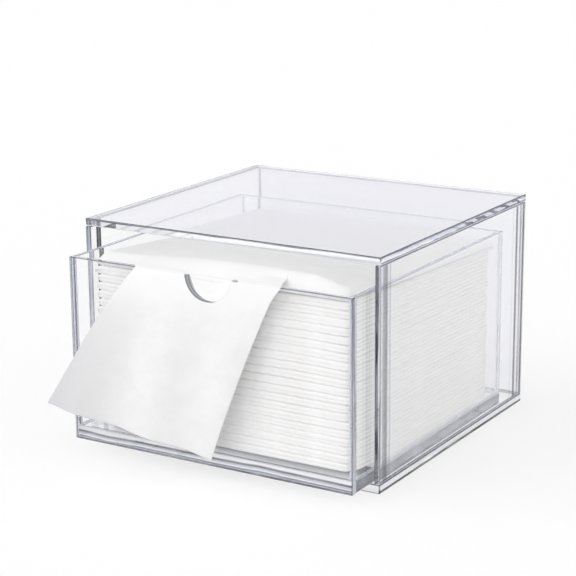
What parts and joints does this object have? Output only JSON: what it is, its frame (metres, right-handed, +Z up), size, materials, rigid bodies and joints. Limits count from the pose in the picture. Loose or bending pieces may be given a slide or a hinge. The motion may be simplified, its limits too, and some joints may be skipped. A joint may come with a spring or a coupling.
{
  "type": "face towel storage box",
  "caption": "Clear sheet box with a sliding drawer that holds a stack of folded face towels, one pulled out over the drawer's notched front.",
  "frame": {"origin": "centre of the case's underside", "axes": "+Z up, the drawer opens towards -Y, +X to the right when facing the drawer's front"},
  "size_m": [0.22, 0.2707, 0.15],
  "materials": {
    "clear_sheet": "clear, polished",
    "towel_cloth": "soft matte nonwoven"
  },
  "bodies": {
    "case": {"case_base": "clear_sheet", "case_left_wall": "clear_sheet", "case_right_wall": "clear_sheet", "case_back_wall": "clear_sheet", "case_top": "clear_sheet"},
    "drawer": {"drawer_floor": "clear_sheet", "drawer_left_wall": "clear_sheet", "drawer_right_wall": "clear_sheet", "drawer_back_wall": "clear_sheet", "drawer_front": "clear_sheet", "towel_01": "towel_cloth", "towel_02": "towel_cloth", "towel_03": "towel_cloth", "towel_04": "towel_cloth", "towel_05": "towel_cloth", "towel_06": "towel_cloth", "towel_07": "towel_cloth", "towel_08": "towel_cloth", "towel_09": "towel_cloth", "towel_10": "towel_cloth", "towel_11": "towel_cloth", "towel_12": "towel_cloth", "towel_13": "towel_cloth", "towel_14": "towel_cloth", "towel_15": "towel_cloth", "towel_16": "towel_cloth", "towel_17": "towel_cloth", "towel_18": "towel_cloth", "towel_19": "towel_cloth", "towel_20": "towel_cloth", "top_towel": "towel_cloth", "pulled_towel": "towel_cloth"}
  },
  "joints": [
    {"name": "drawer_slide", "type": "slide", "parent": "case", "child": "drawer", "axis": [0, -1, 0], "range_m": [-0.025, 0.135]}
  ]
}
